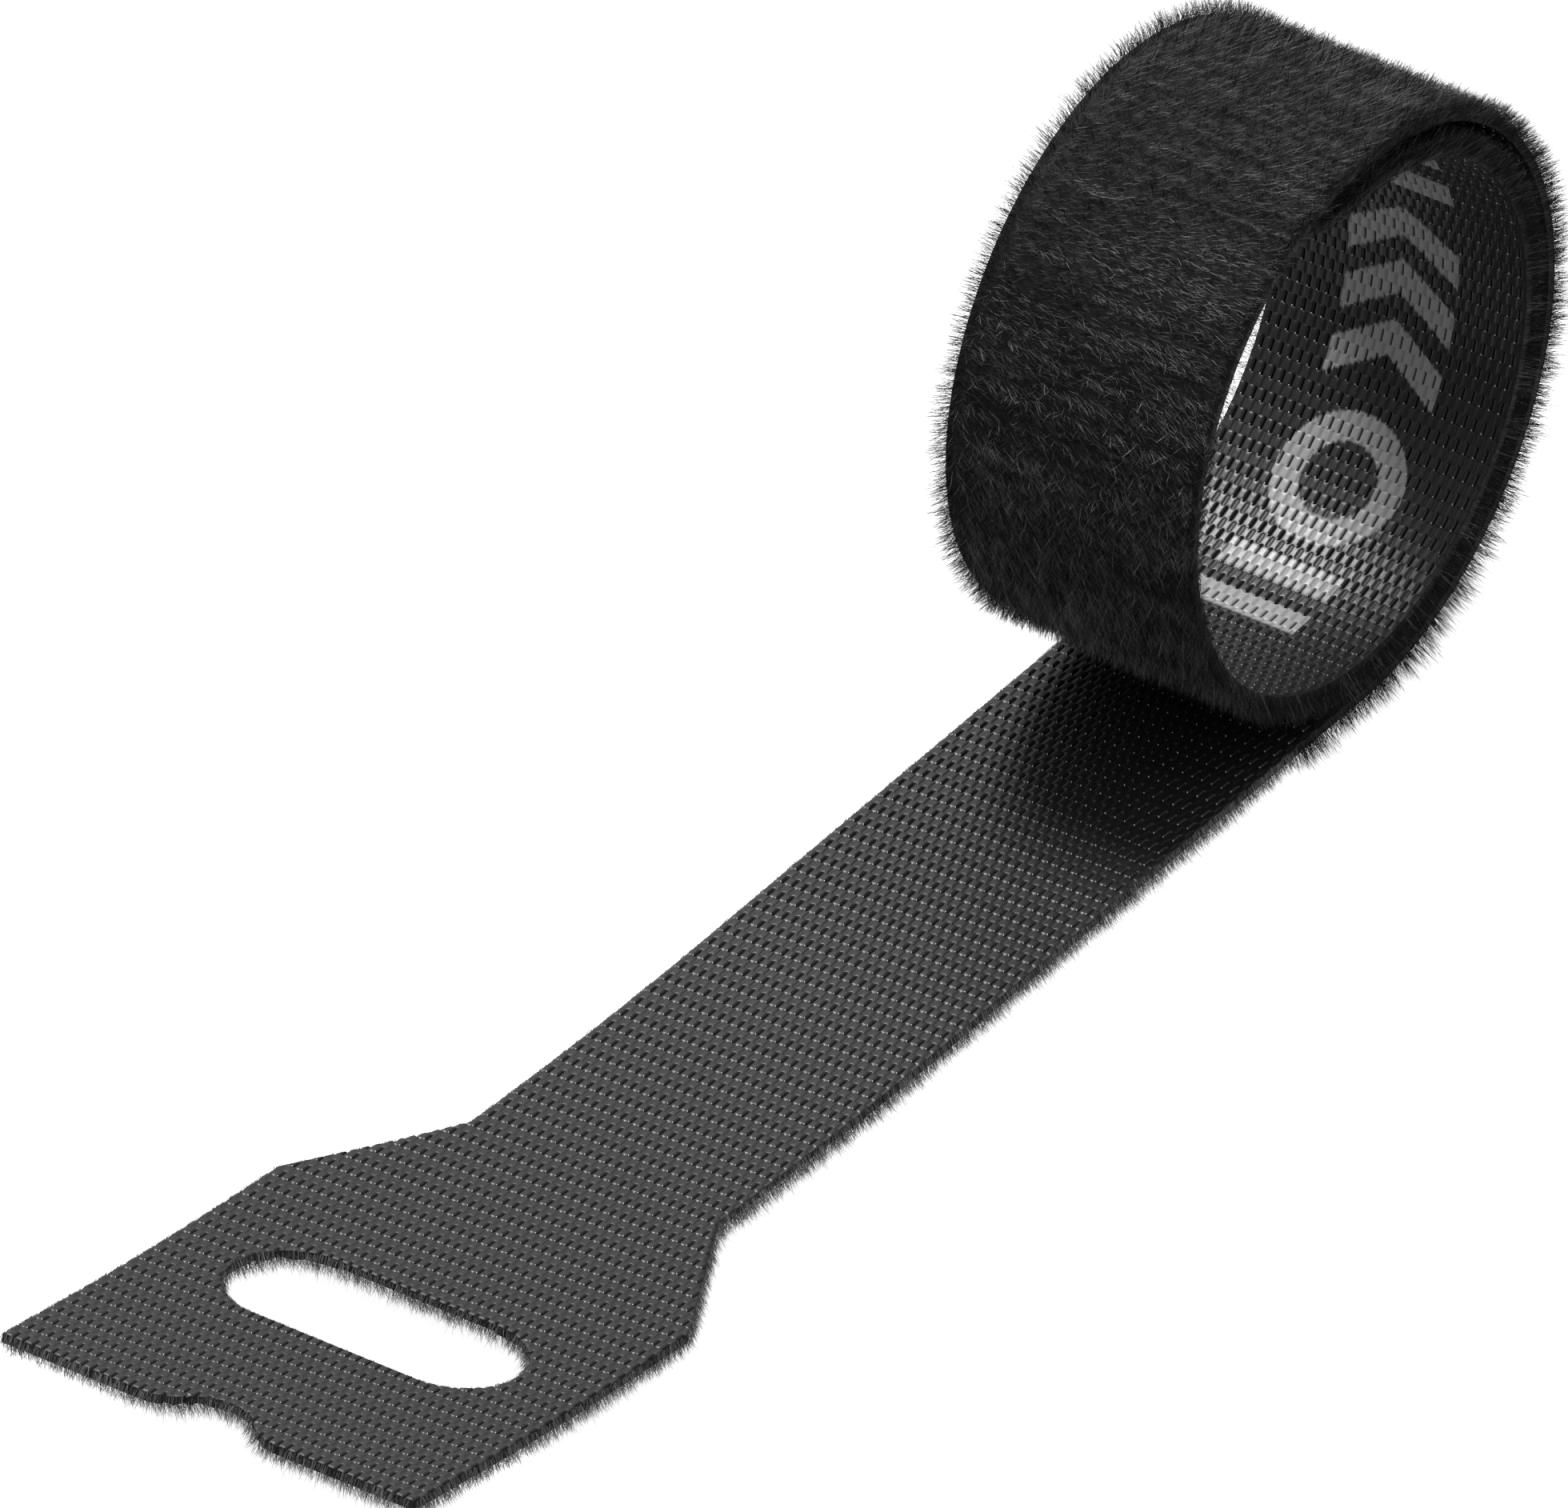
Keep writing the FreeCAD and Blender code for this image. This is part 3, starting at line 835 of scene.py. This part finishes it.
def weave_material():
    """Black woven polyester: satin tiles with a fibre grain, the print, and painted shade that
    darkens the grooves and the cut edges.
    """
    material = bpy.data.materials.new("woven_hook_tape")
    tree, shader = nodes_of(material)
    relief = tree.nodes.new("ShaderNodeAttribute")
    relief.attribute_name = "relief"
    level = tree.nodes.new("ShaderNodeMapRange")
    level.inputs["From Min"].default_value = -RELIEF_FLOOR
    level.inputs["From Max"].default_value = -RELIEF_TOP
    tree.links.new(relief.outputs["Fac"], level.inputs["Value"])
    # painted shade: the base colour darkens with depth into the grooves and towards the cut
    # edges
    yarn_with_painted_shade = ramp(tree, level.outputs["Result"], WEAVE_GREYS_PAINTED_SHADE)
    grain = noise(tree, strap_vector(tree, *GRAIN_PER_METRE), GRAIN_DETAIL)
    patchy = noise(tree, strap_vector(tree, *PATCHES_PER_METRE), PATCH_DETAIL)
    grained = mix_colour(tree, 1.0, yarn_with_painted_shade, ramp(tree, grain, GRAIN_SHADES), "MULTIPLY")
    worn = mix_colour(tree, 1.0, grained, ramp(tree, patchy, PATCH_SHADES), "MULTIPLY")
    printed = tree.nodes.new("ShaderNodeAttribute")
    printed.attribute_name = "ink"
    # the print darkens in the grooves the same way: painted shade
    inked = ramp(tree, level.outputs["Result"], PRINT_GREYS_PAINTED_SHADE)
    coloured = mix_colour(tree, printed.outputs["Fac"], worn, inked)
    satin = ramp(tree, grain, YARN_ROUGHNESS)
    gloss = mix_colour(tree, level.outputs["Result"], grey_colour(GROOVE_ROUGHNESS), satin)
    link_all(tree, (coloured, shader.inputs["Base Color"]), (gloss, shader.inputs["Roughness"]))
    bump = tree.nodes.new("ShaderNodeBump")
    bump.inputs["Strength"].default_value = GRAIN_BUMP
    bump.inputs["Distance"].default_value = GRAIN_DEPTH
    link_all(tree, (grain, bump.inputs["Height"]),
             (bump.outputs["Normal"], shader.inputs["Normal"]))
    shader.inputs["Specular IOR Level"].default_value = WEAVE_GLOSS
    return material


def ground_material():
    """The knitted ground under the pile."""
    material = bpy.data.materials.new("pile_ground")
    tree, shader = nodes_of(material)
    knit = noise(tree, strap_vector(tree, *KNIT_PER_METRE), KNIT_DETAIL)
    tree.links.new(ramp(tree, knit, KNIT_GREYS), shader.inputs["Base Color"])
    shader.inputs["Roughness"].default_value = KNIT_ROUGHNESS
    shader.inputs["Specular IOR Level"].default_value = KNIT_GLOSS
    return material


def plain_fibre(name, grey, roughness, gloss):
    """One shade of fibre; the pile mixes three of them, fibre by fibre."""
    material = bpy.data.materials.new(name)
    _, shader = nodes_of(material)
    shader.inputs["Base Color"].default_value = grey_colour(grey, TINT)
    shader.inputs["Roughness"].default_value = roughness
    shader.inputs["Specular IOR Level"].default_value = gloss
    return material


def smooth(piece, top=None):
    """Smooth shading for the whole piece, or for its first quads, with a crease round them."""
    mesh = piece.data
    rounded = np.ones(len(mesh.polygons), bool)
    if top is not None:
        rounded[top:] = False
        edge_of = np.empty(len(mesh.loops), np.int32)
        mesh.loops.foreach_get("edge_index", edge_of)
        in_top = np.bincount(edge_of[:4 * top], minlength=len(mesh.edges)) > 0
        in_rest = np.bincount(edge_of[4 * top:], minlength=len(mesh.edges)) > 0
        mesh.edges.foreach_set("use_edge_sharp", in_top & in_rest)
    mesh.polygons.foreach_set("use_smooth", rounded)


def make_strap():
    """Every section's four pieces, riding on one body at the strap's ends and elsewhere baked
    in place.
    """
    weave, ground = weave_material(), ground_material()
    # hooks lighter than the tape: painted highlight for their glints
    hook_glint_shade = plain_fibre("hook_filament", HOOK_GLINT_GREY, HOOK_ROUGHNESS, HOOK_GLOSS)
    fibres = [plain_fibre("pile_fibre_%d" % k, grey, FIBRE_ROUGHNESS, gloss)
              for k, (grey, gloss) in enumerate(zip(FUR_GREYS, FUR_GLOSS))]
    for number, (start, end, first, second) in enumerate(strap.sections()):
        pieces = [weave_section(number, start, end), hook_section(number, start, end),
                  ground_section(number, start, end), fur_section(number, start, end)]
        for piece, materials, slot_name in zip(
                pieces, ([weave], [hook_glint_shade], [ground], fibres),
                ("hook_tape", "hook_tape", "loop_tape", "loop_tape")):
            for material in materials:
                piece.data.materials.append(material)
            join_to_frame(piece, start, end, first, second)
        smooth(pieces[1])
        if number < len(strap.names):
            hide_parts(strap.names[number] + "_hook_tape")
            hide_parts(strap.names[number] + "_loop_tape")


def join_to_frame(piece, start, end, first, second):
    """Rides on one body at the strap's two ends; elsewhere it is only baked in place, on no
    body.
    """
    if second is None:
        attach(piece, first)
        return
    ends = strap.place(np.array([start, end]), 0.0, HOOK_THICKNESS)
    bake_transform(piece)


def make_floor():
    """A plain floor, pale mostly by its own glow, so that shadows on it nearly vanish."""
    mesh = bpy.data.meshes.new("floor")
    corners = [(-1, -1), (1, -1), (1, 1), (-1, 1)]
    mesh.from_pydata([(x * FLOOR_REACH, y * FLOOR_REACH, 0) for x, y in corners],
                     [], [(0, 1, 2, 3)])
    floor = bpy.data.objects.new("floor", mesh)
    bpy.context.scene.collection.objects.link(floor)
    material = bpy.data.materials.new("floor_paint")
    _, shader = nodes_of(material)
    shader.inputs["Base Color"].default_value = grey_colour(FLOOR_GREY)
    shader.inputs["Roughness"].default_value = FLOOR_ROUGHNESS
    shader.inputs["Emission Color"].default_value = (1, 1, 1, 1)
    shader.inputs["Emission Strength"].default_value = FLOOR_GLOW
    floor.data.materials.append(material)


def view_axes(azimuth, elevation):
    """Right, up and towards the viewer, for a viewer at this azimuth and elevation."""
    a, e = math.radians(azimuth), math.radians(elevation)
    back = Vector((math.sin(a) * math.cos(e), -math.cos(a) * math.cos(e), math.sin(e)))
    right = Vector((math.cos(a), math.sin(a), 0))
    return right, back.cross(right), back


def make_camera():
    """A very long lens far away, which sees the tie almost without perspective."""
    right, up, back = view_axes(VIEW_AZIMUTH, VIEW_ELEVATION)
    data = bpy.data.cameras.new("camera")
    data.lens, data.sensor_width = LENS_MM, SENSOR_MM
    distance = VIEW_WIDTH * LENS_MM / SENSOR_MM
    middle = (CAD_LOW + CAD_HIGH) / 2 + right * AIM_RIGHT + up * AIM_UP
    data.clip_start, data.clip_end = distance * CLIP_NEAR, distance * CLIP_FAR
    camera = bpy.data.objects.new("camera", data)
    bpy.context.scene.collection.objects.link(camera)
    camera.matrix_world = Matrix.Translation(middle + back * distance) @ Matrix(
        (right, up, back)).transposed().to_4x4()
    bpy.context.scene.camera = camera


def area_light(name, azimuth, elevation, distance, size, power):
    """A round lamp that faces the middle of the tie."""
    _, _, back = view_axes(azimuth, elevation)
    data = bpy.data.lights.new(name, "AREA")
    data.shape, data.size, data.energy = "DISK", size, power
    lamp = bpy.data.objects.new(name, data)
    bpy.context.scene.collection.objects.link(lamp)
    middle = (CAD_LOW + CAD_HIGH) / 2
    lamp.location = middle + back * distance
    lamp.rotation_mode = "QUATERNION"
    lamp.rotation_quaternion = back.to_track_quat("Z", "Y")


def make_light():
    """A sky that brightens towards its top, and one key light behind the tie."""
    world = bpy.data.worlds.new("studio")
    bpy.context.scene.world = world
    world.use_nodes = True
    tree = world.node_tree
    direction = tree.nodes.new("ShaderNodeTexCoord")
    split = tree.nodes.new("ShaderNodeSeparateXYZ")
    level = tree.nodes.new("ShaderNodeMapRange")
    level.inputs["To Min"].default_value = HORIZON_SKY
    level.inputs["To Max"].default_value = ZENITH_SKY
    # the backdrop shows where a low view looks past the floor
    below = tree.nodes.new("ShaderNodeMath")
    below.operation = "LESS_THAN"
    below.inputs[1].default_value = 0.0
    sky = tree.nodes.new("ShaderNodeMath")
    sky.operation = "MULTIPLY_ADD"
    sky.inputs[1].default_value = BACKDROP - HORIZON_SKY
    background = tree.nodes["Background"]
    background.inputs["Color"].default_value = (1, 1, 1, 1)
    link_all(tree, (direction.outputs["Generated"], split.inputs[0]),
             (split.outputs["Z"], level.inputs["Value"]), (split.outputs["Z"], below.inputs[0]),
             (below.outputs[0], sky.inputs[0]), (level.outputs["Result"], sky.inputs[2]),
             (sky.outputs[0], background.inputs["Strength"]))
    area_light("key", *KEY_LIGHT)
    bpy.context.scene.view_settings.view_transform = "Standard"


make_camera()
make_strap()
make_floor()
make_light()
